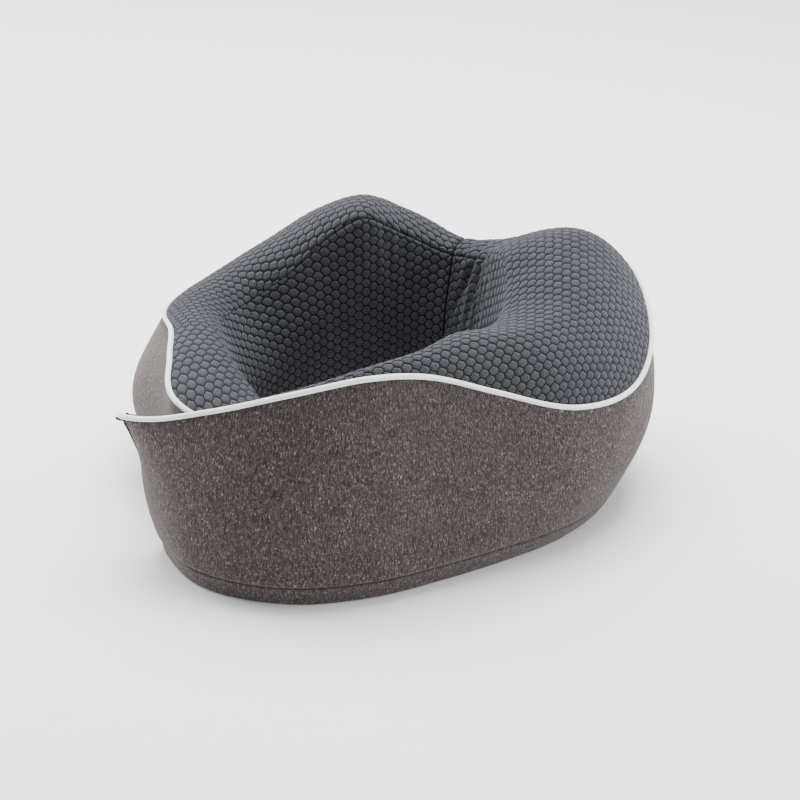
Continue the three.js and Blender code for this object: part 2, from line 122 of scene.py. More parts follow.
PANEL_THICKNESS = 2.0
PIPING_RADIUS = 1.5
INNER_STEP = 8

# Fabric that crosses the nape makes one part within this angle to each side of it, in degrees. Beyond the split angle a
# cover rides on its half.
SPLIT_ANGLE = 48.0


def hermite(t, a, b, leave, arrive):
    t2, t3 = t * t, t * t * t
    return (2 * t3 - 3 * t2 + 1) * a + (t3 - 2 * t2 + t) * leave + (3 * t2 - 2 * t3) * b + (t3 - t2) * arrive


def smooth(x, low=0.0, high=1.0):
    t = np.clip((np.asarray(x, float) - low) / (high - low), 0, 1)
    return t * t * (3 - 2 * t)


def bell(x, centre, width):
    return np.exp(-(((np.asarray(x, float) - centre) / width) ** 2))


def station_values(side, angles):
    """Each column of the station table at some angles, as a smooth curve through it."""
    table = np.array(STATIONS[side], float)
    knots, values = table[:, 0], table[:, 1:]
    slopes = np.zeros_like(values)
    slopes[1:-1] = (values[2:] - values[:-2]) / (knots[2:] - knots[:-2])[:, None]
    slopes[-1] = (values[-1] - values[-2]) / (knots[-1] - knots[-2])
    i = np.clip(np.searchsorted(knots, angles, side="right") - 1, 0, len(knots) - 2)
    width = (knots[i + 1] - knots[i])[:, None]
    t = (angles - knots[i])[:, None] / width
    return hermite(t, values[i], values[i + 1], slopes[i] * width, slopes[i + 1] * width).T


def zip_arc_radius(angles):
    a = np.radians(angles)
    along = ZIP_CENTRE[0] * np.sin(a) + ZIP_CENTRE[1] * np.cos(a)
    return along + np.sqrt(ZIP_RADIUS**2 - ZIP_CENTRE[0] ** 2 - ZIP_CENTRE[1] ** 2 + along**2)


def ring_angle(zip_angle):
    a = math.radians(zip_angle)
    return math.degrees(math.atan2(ZIP_CENTRE[0] + ZIP_RADIUS * math.sin(a), ZIP_CENTRE[1] + ZIP_RADIUS * math.cos(a)))


ZIP_SPAN = (ring_angle(ZIP_RANGE[0] - ZIP_MARGIN), ring_angle(ZIP_RANGE[1] + ZIP_MARGIN))


class Sections:
    """Cross sections of the pillow's outer surface at a run of signed angles."""

    def __init__(self, angles):
        self.angles = np.asarray(angles, float)
        size = np.abs(self.angles)
        left = self.angles < 0
        values = np.where(left, station_values("left", size), station_values("right", size))
        base_in, base_out, seam_r, bulge_r, bulge_z, pipe_r, pipe_z, crest_r, crest_z, rim_r, rim_z, waist_r = values
        leaving = smooth(size, *ARC_FADE)
        seam_r = zip_arc_radius(size) * (1 - leaving) + seam_r * leaving
        lean_r, lean_z = math.sin(ZIP_LEAN), math.cos(ZIP_LEAN)
        zero = np.zeros_like(size)
        wall = bulge_z - SEAM_HEIGHT
        across, turn = crest_r - pipe_r, rim_r - crest_r
        knots = {
            "base": (base_in, zero),
            "edge": (base_out, zero),
            "seam": (seam_r, zero + SEAM_HEIGHT),
            "bulge": (bulge_r, bulge_z),
            "piping": (pipe_r, pipe_z),
            "crest": (crest_r, crest_z),
            "rim": (rim_r, rim_z),
            "waist": (waist_r, rim_z / 2),
            "end": (base_in, zero),
        }
        tangents = [
            (base_out - base_in, zero, base_out - base_in, zero),
            ((seam_r - base_out) * 1.2 + 3, zero, zero + lean_r * 14, zero + lean_z * 14),
            (lean_r * wall * 0.7, lean_z * wall * 0.7, zero, wall),
            (zero, pipe_z - bulge_z, (pipe_r - bulge_r) * 1.4, (pipe_z - bulge_z) * 0.9),
            (across * 0.7, (crest_z - pipe_z) * 1.6, across * 1.2, zero),
            (turn * 1.3, zero, turn * 0.6, (rim_z - crest_z) * 1.6 - 3),
            ((waist_r - rim_r) * 0.9, -rim_z * 0.4, zero, -rim_z * 0.5),
            (zero, -rim_z * 0.5, (base_in - waist_r) * 1.1, -rim_z * 0.5),
        ]
        names = list(knots)
        t = np.linspace(0, 1, SPAN_SAMPLES + 1)[None, 1:]
        r, z = [base_in[:, None]], [zero[:, None]]
        for k, (leave_r, leave_z, arrive_r, arrive_z) in enumerate(tangents):
            (r0, z0), (r1, z1) = knots[names[k]], knots[names[k + 1]]
            r.append(hermite(t, r0[:, None], r1[:, None], leave_r[:, None], arrive_r[:, None]))
            z.append(hermite(t, z0[:, None], z1[:, None], leave_z[:, None], arrive_z[:, None]))
        self.r, self.z = np.concatenate(r, 1), np.concatenate(z, 1)
        self.pinch()
        steps = np.hypot(np.diff(self.r, axis=1), np.diff(self.z, axis=1))
        self.lengths = np.concatenate([np.zeros((len(size), 1)), np.cumsum(steps, 1)], 1)
        self.marks = {name: self.lengths[:, k * SPAN_SAMPLES] for k, name in enumerate(names)}
        self.crest_r, self.rim_r, self.waist_r = crest_r, rim_r, waist_r

    def walls(self, i, heights):
        """The radii of the inner and the outer wall of section i at some heights."""
        seam, crest = 2 * SPAN_SAMPLES, 5 * SPAN_SAMPLES
        outer_z, outer_r = self.z[i, SPAN_SAMPLES : crest + 1], self.r[i, SPAN_SAMPLES : crest + 1]
        inner_z, inner_r = self.z[i, crest:][::-1], self.r[i, crest:][::-1]
        return np.interp(heights, inner_z, inner_r), np.interp(heights, outer_z, outer_r)

    def pinch(self):
        """Draws both walls together in a round nose at the end of each arm."""
        for i, angle in enumerate(self.angles):
            end = ARM_END["left" if angle < 0 else "right"]
            along = (abs(angle) - (end - TIP_ANGLE)) / TIP_ANGLE
            if along <= 0:
                continue
            inner, outer = self.walls(i, self.z[i])
            middle = inner + (outer - inner) * TIP_LEAN
            share = math.sqrt(max(0.0, 1 - min(along, 1.0) ** 2.5))
            self.r[i] = middle + (self.r[i] - middle) * (0.06 + 0.94 * share)

    def at(self, lengths):
        """Points r, z at arc lengths: one row of lengths for each section."""
        r = np.array([np.interp(row, self.lengths[i], self.r[i]) for i, row in enumerate(lengths)])
        z = np.array([np.interp(row, self.lengths[i], self.z[i]) for i, row in enumerate(lengths)])
        return r, z

    def inset(self, r, z, depth):
        """The same points moved in by a depth. A thin arm's points never cross its middle."""
        new_r, new_z = np.empty_like(r), np.empty_like(z)
        top = self.z.max(axis=1)
        for i in range(len(self.angles)):
            inner, outer = self.walls(i, z[i])
            width = outer - inner
            middle = (outer + inner) / 2
            share = np.where(width > 4 * depth, 1 - 2 * depth / np.maximum(width, 0.1), width / (8 * depth))
            new_r[i] = middle + (r[i] - middle) * share
            new_z[i] = depth + z[i] * (1 - 2 * depth / top[i])
        return new_r, new_z

    def place(self, r, z):
        a = np.radians(self.angles)[:, None]
        x = r * np.sin(a) + RING_CENTRE[0]
        y = r * np.cos(a) + RING_CENTRE[1]
        return np.stack([x, y, z], axis=-1) * MM


def normals_of(points):
    along = np.gradient(points, axis=0)
    across = np.gradient(points, axis=1)
    n = np.cross(across, along)
    return n / np.maximum(np.linalg.norm(n, axis=-1, keepdims=True), 1e-12)


def quads(rows, columns, offset=0, flip=False, closed=False):
    """Faces of a grid of rows x columns points, joined round its columns if closed."""
    i, j = np.meshgrid(np.arange(rows - 1), np.arange(columns if closed else columns - 1), indexing="ij")
    k = (j + 1) % columns
    a, b, c, d = i * columns + j, i * columns + k, (i + 1) * columns + k, (i + 1) * columns + j
    faces = np.stack([a, d, c, b] if flip else [a, b, c, d], -1).reshape(-1, 4) + offset
    return faces.tolist()


def rim_loop(rows, columns, step=1, offset=0):
    """The outline of a grid, counting every step-th point, in the order that its first row runs."""
    r, c = np.arange(0, rows, step), np.arange(0, columns, step)
    loop = [(0, j) for j in c] + [(i, columns - 1) for i in r[1:]]
    loop += [(rows - 1, j) for j in c[::-1][1:]] + [(i, 0) for i in r[::-1][1:-1]]
    return [i * columns + j + offset for i, j in loop]


def stretches(angles, step=1):
    """The parts of a run of sections, as rows: the nape, and the arms, which ride on their halves."""
    last = len(angles) - 1
    low, high = (int(round(np.interp(a, angles, np.arange(last + 1)) / step)) * step for a in (-SPLIT_ANGLE, SPLIT_ANGLE))
    parts = [("left", 0, low), ("nape", low, high), ("right", high, last)]
    return [(where, slice(first, stop + 1)) for where, first, stop in parts if stop > first]


def attach(piece, where, replaced):
    """Makes an arm's part of a cover ride on its half of the frame, bakes the nape's part in place, and hides the CAD
    nodes it stands for.
    """
    if where == "nape":
        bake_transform(piece)
    else:
        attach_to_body(piece, f"{where}_half")
    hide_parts(*replaced)


def part_name(name, where):
    return f"{name}_nape" if where == "nape" else f"{name}_{where}_arm"


def sides_of(node, where):
    return [f"{node}_left", f"{node}_right"] if where == "nape" else [f"{node}_{where}"]


def make_object(name, points, faces, material, uv=None, edge=None, normals=None):
    mesh = bpy.data.meshes.new(name)
    mesh.from_pydata(np.asarray(points, float).reshape(-1, 3).tolist(), [], faces)
    if uv is not None:
        corners = np.empty(len(mesh.loops), np.int32)
        mesh.loops.foreach_get("vertex_index", corners)
        layer = mesh.uv_layers.new(name="weave")
        layer.data.foreach_set("uv", np.asarray(uv, np.float32).reshape(-1, 2)[corners].ravel())
        # The edge map holds each point's distance from a seam, which the materials use to paint shade into the seam's
        # crease.
        if edge is not None:
            pair = np.stack([edge, edge], -1).astype(np.float32).reshape(-1, 2)
            mesh.uv_layers.new(name="edge").data.foreach_set("uv", pair[corners].ravel())
    mesh.polygons.foreach_set("use_smooth", np.ones(len(mesh.polygons), bool))
    mesh.materials.append(material)
    mesh.validate()
    mesh.update()
    if normals is not None:
        mesh.normals_split_custom_set_from_vertices(normals.reshape(-1, 3).tolist())
    obj = bpy.data.objects.new(name, mesh)
    bpy.context.scene.collection.objects.link(obj)
    return obj


def sheet_solid(name, outer, inner, material, uv, edge, shade):
    """A closed panel: a fine outer grid, a coarser inner one, and a strip that joins their edges."""
    rows, columns = outer.shape[:2]
    coarse = inner[::INNER_STEP, ::INNER_STEP]
    n = rows * columns
    faces = quads(rows, columns) + quads(*coarse.shape[:2], offset=n, flip=True)
    fine_loop = rim_loop(rows, columns)
    coarse_loop = rim_loop(*coarse.shape[:2], offset=n)
    half = INNER_STEP // 2
    for c, here in enumerate(coarse_loop):
        there = coarse_loop[(c + 1) % len(coarse_loop)]
        for s in range(INNER_STEP):
            f = fine_loop[c * INNER_STEP + s]
            g = fine_loop[(c * INNER_STEP + s + 1) % len(fine_loop)]
            if s == half:
                faces.append([f, here, there])
            faces.append([g, f, here if s < half else there])
    points = np.concatenate([outer.reshape(-1, 3), coarse.reshape(-1, 3)])
    all_uv = np.concatenate([uv.reshape(-1, 2), uv[::INNER_STEP, ::INNER_STEP].reshape(-1, 2)])
    sparse = (slice(None, None, INNER_STEP), slice(None, None, INNER_STEP))
    all_edge = np.concatenate([edge.ravel(), edge[sparse].ravel()])
    all_normals = np.concatenate([shade.reshape(-1, 3), -shade[sparse].reshape(-1, 3)])
    return make_object(name, points, faces, material, all_uv, all_edge, all_normals)


def hoop_lengths(sections, radius):
    """How far along the hoop each section stands, at a radius that may change, from the first one."""
    a = np.radians(sections.angles)
    x, y = radius * np.sin(a), radius * np.cos(a)
    return np.concatenate([[0], np.cumsum(np.hypot(np.diff(x), np.diff(y)))])


def cell_border(u, v):
    """Distance in mm from the nearest gap between cells, for positions counted in columns and pitches."""

    def border(du, dv):
        x, y = np.abs(du) * COLUMN, np.abs(dv) * PITCH
        n = math.hypot(COLUMN, PITCH / 2)
        return np.minimum(PITCH / 2 - y, n / 2 - (x * COLUMN + y * PITCH / 2) / n)

    first = border(u - 2 * np.round(u / 2), v - np.round(v))
    second = border(u - 1 - 2 * np.round((u - 1) / 2), v - 0.5 - np.round(v - 0.5))
    return np.maximum(first, second)


def turned_edge(distance, width, depth):
    """How far fabric sinks towards a seam at a distance from it: a quarter round."""
    t = np.clip(1 - distance / width, 0, 1)
    return depth * (1 - np.sqrt(np.maximum(0, 1 - t * t)))


def build_panel(name, material, sections, start, end, columns, uv_of, lift_of, edge_of):
    """A panel between two arc lengths of every section, in one part for each stretch of it.

    lift_of gives each point's height over the surface, and edge_of how far it is from a sewn edge.
    """
    f = np.linspace(0, 1, columns)[None, :]
    lengths = start[:, None] + (end - start)[:, None] * f
    r, z = sections.at(lengths)
    base = sections.place(r, z)
    normals = normals_of(base)
    uv = uv_of(sections, lengths)
    lift = lift_of(sections, lengths, uv)
    edge = edge_of(sections, lengths)
    outer = base + normals * (lift * MM)[..., None]
    inner = base + normals * ((np.minimum(lift, 0) - PANEL_THICKNESS) * MM)[..., None]
    outer[..., 2] = np.maximum(outer[..., 2], 0.0)
    inner[..., 2] = np.maximum(inner[..., 2], 0.35 * PANEL_THICKNESS * MM)
    shade = normals_of(outer)
    for where, rows in stretches(sections.angles, INNER_STEP):
        piece = sheet_solid(part_name(name, where), outer[rows], inner[rows], material, uv[rows], edge[rows], shade[rows])
        nodes = [name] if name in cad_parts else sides_of(name, where)
        attach(piece, where, nodes)


# ---------------------------------------------------------------- materials


class Graph:
    """A material built from short expressions of sockets and numbers."""

    def __init__(self, name):
        self.material = bpy.data.materials.new(name)
        self.material.use_nodes = True
        self.tree = self.material.node_tree
        self.shader = next(n for n in self.tree.nodes if n.type == "BSDF_PRINCIPLED")

    def node(self, kind, **settings):
        node = self.tree.nodes.new(kind)
        for key, value in settings.items():
            setattr(node, key, value)
        return node

    def feed(self, socket, value):
        if isinstance(value, bpy.types.NodeSocket):
            self.tree.links.new(value, socket)
        else:
            socket.default_value = value

    def math(self, operation, *values):
        node = self.node("ShaderNodeMath", operation=operation)
        for socket, value in zip(node.inputs, values):
            self.feed(socket, value)
        return node.outputs[0]

    def vector(self, x=0.0, y=0.0, z=0.0):
        node = self.node("ShaderNodeCombineXYZ")
        for socket, value in zip(node.inputs, (x, y, z)):
            self.feed(socket, value)
        return node.outputs[0]

    def uv(self):
        split = self.node("ShaderNodeSeparateXYZ")
        self.feed(split.inputs[0], self.node("ShaderNodeUVMap", uv_map="weave").outputs[0])
        return split.outputs[0], split.outputs[1]

    def painted_seam_shade(self, colour, dark):
        """Painted shade: a colour that darkens towards a shade colour in the crease of a sewn edge."""
        split = self.node("ShaderNodeSeparateXYZ")
        self.feed(split.inputs[0], self.node("ShaderNodeUVMap", uv_map="edge").outputs[0])
        return self.mix(self.step(split.outputs[0], 0.2, 1.0), dark, colour)

    def place(self):
        return self.node("ShaderNodeTexCoord").outputs["Object"]

    def flat_place(self):
        """Two lengths in mm in the object's own space: one round the pillow's back, one up its wall."""
        split = self.node("ShaderNodeSeparateXYZ")
        self.feed(split.inputs[0], self.scaled(self.place(), (1000.0, 1000.0, 1000.0)))
        x, y, z = split.outputs
        return self.math("SUBTRACT", x, self.math("MULTIPLY", y, 0.6)), z

    def scaled(self, vector, factors):
        node = self.node("ShaderNodeVectorMath", operation="MULTIPLY")
        self.feed(node.inputs[0], vector)
        self.feed(node.inputs[1], factors)
        return node.outputs[0]

    def noise(self, vector, scale=1.0, detail=2.0, roughness=0.5, distortion=0.0):
        node = self.node("ShaderNodeTexNoise")
        for key, value in (("Vector", vector), ("Scale", scale), ("Detail", detail), ("Roughness", roughness),
                           ("Distortion", distortion)):
            self.feed(node.inputs[key], value)
        return node.outputs["Fac"]

    def white(self, vector):
        node = self.node("ShaderNodeTexWhiteNoise", noise_dimensions="3D")
        self.feed(node.inputs["Vector"], vector)
        return node.outputs["Value"]

    def step(self, value, low, high):
        node = self.node("ShaderNodeMapRange", interpolation_type="SMOOTHSTEP")
        for socket, given in zip(node.inputs, (value, low, high, 0.0, 1.0)):
            self.feed(socket, given)
        return node.outputs[0]

    def mix(self, factor, a, b):
        node = self.node("ShaderNodeMix", data_type="RGBA")
        self.feed(node.inputs[0], factor)
        for socket, value in ((node.inputs[6], a), (node.inputs[7], b)):
            self.feed(socket, value if isinstance(value, bpy.types.NodeSocket) else (*value, 1.0))
        return node.outputs[2]

    def bump(self, height, strength, distance):
        node = self.node("ShaderNodeBump")
        self.feed(node.inputs["Strength"], strength)
        self.feed(node.inputs["Distance"], distance)
        self.feed(node.inputs["Height"], height)
        self.feed(self.shader.inputs["Normal"], node.outputs[0])

    def finish(self, colour, roughness, sheen=0.0, sheen_tint=(1, 1, 1), metallic=0.0, specular=0.5):
        self.feed(self.shader.inputs["Base Color"], colour)
        self.feed(self.shader.inputs["Roughness"], roughness)
        self.shader.inputs["Sheen Weight"].default_value = sheen
        self.shader.inputs["Sheen Roughness"].default_value = 0.45
        self.shader.inputs["Sheen Tint"].default_value = (*sheen_tint, 1.0)
        self.shader.inputs["Metallic"].default_value = metallic
        self.shader.inputs["Specular IOR Level"].default_value = specular
        return self.material


def nearest_cell(g, u, v, shift_u, shift_v):
    """The offset from, and the number of, the nearest cell of one of the two sets of columns."""
    u, v = g.math("SUBTRACT", u, shift_u), g.math("SUBTRACT", v, shift_v)
    column = g.math("MULTIPLY", g.math("ROUND", g.math("MULTIPLY", u, 0.5)), 2.0)
    row = g.math("ROUND", v)
    x = g.math("MULTIPLY", g.math("ABSOLUTE", g.math("SUBTRACT", u, column)), COLUMN)
    y = g.math("MULTIPLY", g.math("ABSOLUTE", g.math("SUBTRACT", v, row)), PITCH)
    n = math.hypot(COLUMN, PITCH / 2)
    slant = g.math("ADD", g.math("MULTIPLY", x, COLUMN / n), g.math("MULTIPLY", y, PITCH / 2 / n))
    border = g.math("SMOOTH_MIN", g.math("SUBTRACT", PITCH / 2, y), g.math("SUBTRACT", n / 2, slant), 0.9)
    return border, g.vector(g.math("ADD", column, shift_u), row, shift_v)


def honeycomb_material():
    g = Graph("honeycomb_jacquard")
    u, v = g.uv()
    first, first_id = nearest_cell(g, u, v, 0.0, 0.0)
    second, second_id = nearest_cell(g, u, v, 1.0, 0.5)
    border = g.math("MAXIMUM", first, second)
    pick = g.math("GREATER_THAN", second, first)
    number = g.mix(pick, first_id, second_id)
    threads = g.vector(g.math("MULTIPLY", u, COLUMN), g.math("MULTIPLY", v, PITCH), 0.0)
    fleck = g.noise(g.scaled(threads, (2.6, 1.3, 1.0)), 1.0, 3.0, 0.7)
    yarn = g.noise(g.scaled(threads, (5.5, 2.2, 1.0)), 1.0, 2.0, 0.6)
    body = g.mix(g.step(fleck, 0.38, 0.66), (0.019, 0.0197, 0.0232), (0.050, 0.0522, 0.0605))
    body = g.mix(g.step(yarn, 0.55, 0.70), body, (0.17, 0.176, 0.195))
    each = g.math("MULTIPLY", g.white(number), 0.22)
    body = g.mix(each, body, (0.016, 0.017, 0.021))
    raised = g.step(border, 0.12, 0.62)
    # Painted shade darkens the honeycomb in the creases of its centre and rim seams.
    colour = g.painted_seam_shade(g.mix(raised, (0.003, 0.0033, 0.005), body), (0.0015, 0.0016, 0.002))
    pillow = g.step(border, 0.0, 1.5)
    loops = g.math("MULTIPLY", yarn, 0.22)
    g.bump(g.math("ADD", pillow, loops), 0.75, 0.0006)
    return g.finish(colour, 0.88, 0.14, (0.85, 0.88, 1.0), specular=0.2)


def heather_material():
    g = Graph("heather_knit")
    u, v = g.uv()
    streaks = g.noise(g.vector(g.math("MULTIPLY", u, 1.0), g.math("MULTIPLY", v, 0.2), 0.0), 1.0, 3.0, 0.6, 0.5)
    speck = g.noise(g.vector(g.math("MULTIPLY", u, 1.3), g.math("MULTIPLY", v, 0.85), 4.0), 1.0, 3.0, 0.75, 0.6)
    pale = g.noise(g.vector(g.math("MULTIPLY", u, 1.25), g.math("MULTIPLY", v, 0.6), 9.0), 1.0, 3.0, 0.8, 0.8)
    cloud = g.noise(g.vector(g.math("MULTIPLY", u, 0.09), g.math("MULTIPLY", v, 0.05), 2.0), 1.0, 2.0, 0.5)
    ground = g.mix(g.step(streaks, 0.36, 0.64), (0.020, 0.0153, 0.014), (0.062, 0.0505, 0.047))
    ground = g.mix(g.math("MULTIPLY", g.step(speck, 0.46, 0.34), 0.85), ground, (0.005, 0.0038, 0.0035))
    ground = g.mix(g.math("MULTIPLY", g.step(pale, 0.53, 0.68), 0.85), ground, (0.27, 0.24, 0.228))
    colour = g.mix(g.math("MULTIPLY", g.step(cloud, 0.35, 0.7), 0.2), ground, (0.02, 0.016, 0.015))
    # Painted shade darkens the knit in the crease of the base seam.
    colour = g.painted_seam_shade(colour, (0.004, 0.003, 0.003))
    rib = g.math("MULTIPLY", g.math("SINE", g.math("MULTIPLY", u, 9.0)), 0.12)
    g.bump(g.math("ADD", g.math("ADD", g.math("MULTIPLY", speck, 0.8), g.math("MULTIPLY", pale, 0.6)), rib), 0.55, 0.0005)
    return g.finish(colour, 0.93, 0.18, (1.0, 0.93, 0.9), specular=0.2)


def woven_material(name, colour, dark, rate, roughness, sheen=0.15, depth=0.0002, mapped=True):
    """A fine twill: slanting threads across a strip, counted in mm on the weave map or in the object's own space."""
    g = Graph(name)
    u, v = g.uv() if mapped else g.flat_place()
    slant = g.math("MULTIPLY", g.math("ADD", u, v), rate)
    thread = g.math("SINE", slant)
    cross = g.math("SINE", g.math("MULTIPLY", g.math("SUBTRACT", u, v), rate * 0.5))
    height = g.math("ADD", g.math("MULTIPLY", thread, 0.5), g.math("MULTIPLY", cross, 0.25))
    fuzz = g.noise(g.vector(g.math("MULTIPLY", u, 1.5), g.math("MULTIPLY", v, 1.5), 0.0), 1.0, 3.0, 0.6)
    tone = g.mix(g.step(height, -0.7, 0.1), dark, colour)
    tone = g.mix(g.math("MULTIPLY", g.step(fuzz, 0.45, 0.75), 0.25), tone, dark)
    g.bump(height, 0.5, depth)
    return g.finish(tone, roughness, sheen)


def foam_material():
    g = Graph("memory_foam")
    place = g.place()
    pores = g.noise(place, 900.0, 3.0, 0.7)
    stain = g.noise(place, 25.0, 2.0, 0.5)
    tone = g.mix(g.step(pores, 0.40, 0.60), (0.66, 0.56, 0.38), (0.86, 0.78, 0.58))
    tone = g.mix(g.math("MULTIPLY", stain, 0.3), tone, (0.80, 0.66, 0.42))
    g.bump(pores, 0.7, 0.0005)
    return g.finish(tone, 0.95, 0.1, specular=0.2)


def nylon_material():
    g = Graph("nylon_coil")
    tone = g.mix(g.noise(g.place(), 700.0, 2.0), (0.030, 0.028, 0.027), (0.058, 0.054, 0.052))
    rough = g.math("ADD", 0.34, g.math("MULTIPLY", g.noise(g.place(), 300.0, 2.0), 0.2))
    return g.finish(tone, rough)


def metal_material():
    g = Graph("gunmetal")
    place = g.place()
    brushed = g.noise(g.scaled(place, (300.0, 300.0, 2600.0)), 1.0, 2.0, 0.6)
    worn = g.noise(place, 420.0, 3.0, 0.6)
    tone = g.mix(g.step(worn, 0.5, 0.75), (0.17, 0.165, 0.16), (0.34, 0.33, 0.32))
    g.bump(brushed, 0.15, 0.00005)
    return g.finish(tone, g.math("ADD", 0.24, g.math("MULTIPLY", brushed, 0.25)), metallic=1.0)


HONEYCOMB = honeycomb_material()
HEATHER = heather_material()
PIPING = woven_material("white_bias_tape", (0.87, 0.87, 0.88), (0.70, 0.70, 0.73), 9.0, 0.6, depth=0.00012)
FILLER = woven_material("cotton_cord", (0.74, 0.70, 0.62), (0.50, 0.46, 0.38), 3.0, 0.9)
TAPE = woven_material("zip_tape", (0.085, 0.072, 0.065), (0.035, 0.03, 0.028), 7.0, 0.85, mapped=False)
LINER = woven_material("liner_knit", (0.74, 0.74, 0.72), (0.52, 0.52, 0.51), 5.0, 0.9)
FOAM = foam_material()
NYLON = nylon_material()
METAL = metal_material()


# ---------------------------------------------------------------- cover panels


def arm_angles(side, steps):
    """Signed angles from the centre seam to the end of one arm, evenly spaced."""
    end = ARM_END[side]
    run = np.linspace(0, end, steps)
    return run if side == "right" else -run[::-1]


def collar_uv(sections, lengths):
    hoop = hoop_lengths(sections, (sections.rim_r + sections.waist_r) / 2)
    hoop = hoop - np.interp(0.0, sections.angles, hoop)
    u = np.broadcast_to(hoop[:, None] / WALL_CELL[0], lengths.shape)
    v = (lengths - sections.marks["end"][:, None]) / WALL_CELL[1]
    return np.stack([u, v], -1)


def top_uv(sections, lengths):
    """The top panels hang as flat cloth, with their grain along the side of the pillow."""
    side = "left" if sections.angles.min() < 0 else "right"
    rho = sections.crest_r[:, None] + sections.marks["crest"][:, None] - lengths
    a = np.radians(sections.angles)[:, None]
    x, y = rho * np.sin(a), rho * np.cos(a)
    (gx, gy), (column, pitch) = GRAIN[side], TOP_CELL[side]
    draped = np.stack([(x * -gy + y * gx) / column, (x * gx + y * gy) / pitch], -1)
    around = (sections.angles < CONTINUOUS_FROM)[:, None, None]
    return np.where(around, collar_uv(sections, lengths), draped)


def seam_strength(angles):
    """The rim seam is drawn tight by the nape and lies flat further on."""
    size = np.abs(angles)
    return 0.08 + 0.77 * (1 - smooth(size, 22, 62))


def nape_folds(sections, lengths):
    """Upright folds in the fabric that bunches beside the centre seam, mostly on the right."""
    angle = sections.angles[:, None]
    level = (lengths - sections.marks["rim"][:, None]) / (sections.marks["end"] - sections.marks["rim"])[:, None]
    right = np.where(angle > 0, 1.0, 0.35)
    where = bell(np.abs(angle), 17, 12) * np.exp(-((level - 0.12) / 0.34) ** 2) * right
    fan = np.abs(angle) * (1.0 + 0.5 * level)
    ripples = 1.15 * np.cos(fan * 1.02 + 1.3 * np.sin(3.0 * level)) + 0.5 * np.cos(fan * 0.45 + 1.0)
    crease = 2.4 * bell(angle, 9.5 - 20 * np.clip(level, 0, 1), 1.3) * bell(level, 0.16, 0.2)
    return where * ripples - crease


def quilted(sections, lengths, uv):
    border = cell_border(uv[..., 0], uv[..., 1])
    ends = np.where(sections.angles < 0, ARM_END["left"], ARM_END["right"])
    away = np.radians(ends - np.abs(sections.angles)) * 110.0
    relief = RELIEF * (smooth(border, 0.0, 1.0) - 0.35) + 0.04 * np.maximum(border, 0)
    to_rim = np.abs(lengths - sections.marks["rim"][:, None])
    calm = 1 - seam_strength(sections.angles)[:, None] * (1 - smooth(to_rim, 0.2, 1.3))
    return relief * smooth(away, 1.0, 5.0)[:, None] * calm


def centre_seam(sections):
    away = np.radians(np.abs(sections.angles)) * 100.0
    return turned_edge(away, 2.6, 2.6)[:, None]


def end_seam(sections):
    ends = np.where(sections.angles < 0, ARM_END["left"], ARM_END["right"])
    away = np.radians(ends - np.abs(sections.angles)) * 110.0
    return turned_edge(away, 2.2, 0.9)[:, None]


def collar_lift(sections, lengths, uv):
    to_rim = lengths - sections.marks["rim"][:, None]
    to_base = sections.marks["end"][:, None] - lengths
    strength = seam_strength(sections.angles)[:, None]
    sink = turned_edge(to_rim, 3.2, 2.0) * strength + turned_edge(to_rim, 0.6, 0.5) + turned_edge(to_base, 3.0, 2.2)
    return quilted(sections, lengths, uv) + nape_folds(sections, lengths) - sink - centre_seam(sections) - end_seam(sections)


def top_lift(sections, lengths, uv):
    to_piping = lengths - sections.marks["piping"][:, None]
    to_rim = sections.marks["rim"][:, None] - lengths
    strength = seam_strength(sections.angles)[:, None]
    sink = turned_edge(to_piping, 4.2, 2.2) + turned_edge(to_rim, 3.2, 2.0) * strength + turned_edge(to_rim, 0.6, 0.5)
    return quilted(sections, lengths, uv) + nape_folds(sections, lengths) - sink - centre_seam(sections) - end_seam(sections)


def knit_edge(sections, lengths):
    """How far the honeycomb is from the centre seam, or from the rim seam where that is drawn tight: this places the
    painted shade in a seam's crease.
    """
    to_rim = np.abs(lengths - sections.marks["rim"][:, None])
    slack = 3.0 * (1 - seam_strength(sections.angles))[:, None]
    return np.minimum(to_rim + slack, np.radians(np.abs(sections.angles))[:, None] * 100.0)


def base_seam_edge(sections, lengths):
    # How far the knit is from the base seam: this places the painted shade in the seam's crease.
    away = np.abs(lengths - sections.marks["seam"][:, None]) - seam_gap(sections)[:, None] + 0.15
    return away + 0.1


def band_uv(sections, lengths):
    hoop = hoop_lengths(sections, 132.0 + 0 * sections.crest_r)
    return np.stack([np.broadcast_to(hoop[:, None], lengths.shape), lengths], -1)


def seam_gap(sections):
    """Half of the gap in the base seam: the thread's width, or the opening for the zip."""
    a = sections.angles
    inside = smooth(a, ZIP_SPAN[0], ZIP_SPAN[0] + ZIP_FADE) * (1 - smooth(a, ZIP_SPAN[1] - ZIP_FADE, ZIP_SPAN[1]))
    return 0.15 + (ZIP_OPENING - 0.15) * inside


def band_folds(sections, lengths):
    """Slack in the outer band: long shallow waves, and drag lines where the arm turns."""
    a = np.radians(sections.angles)[:, None]
    level = (lengths - sections.marks["seam"][:, None]) / (sections.marks["piping"] - sections.marks["seam"])[:, None]
    wave = 0.45 * np.sin(7 * a + 2.2 * level) + 0.3 * np.sin(13 * a - 3.1 * level + 1.0)
    drag = 0.6 * bell(sections.angles, 72, 10)[:, None] * np.sin(9 * level + 14 * a)
    return (wave + drag) * np.clip(np.sin(np.pi * np.clip(level, 0, 1)), 0, 1)


def band_lift(sections, lengths, uv):
    to_seam = lengths - sections.marks["seam"][:, None] - seam_gap(sections)[:, None] + 0.15
    to_piping = sections.marks["piping"][:, None] - lengths
    sink = turned_edge(to_seam, 2.0, 1.0) + turned_edge(to_piping, 3.4, 1.9)
    return band_folds(sections, lengths) + 0.25 - sink - end_seam(sections)


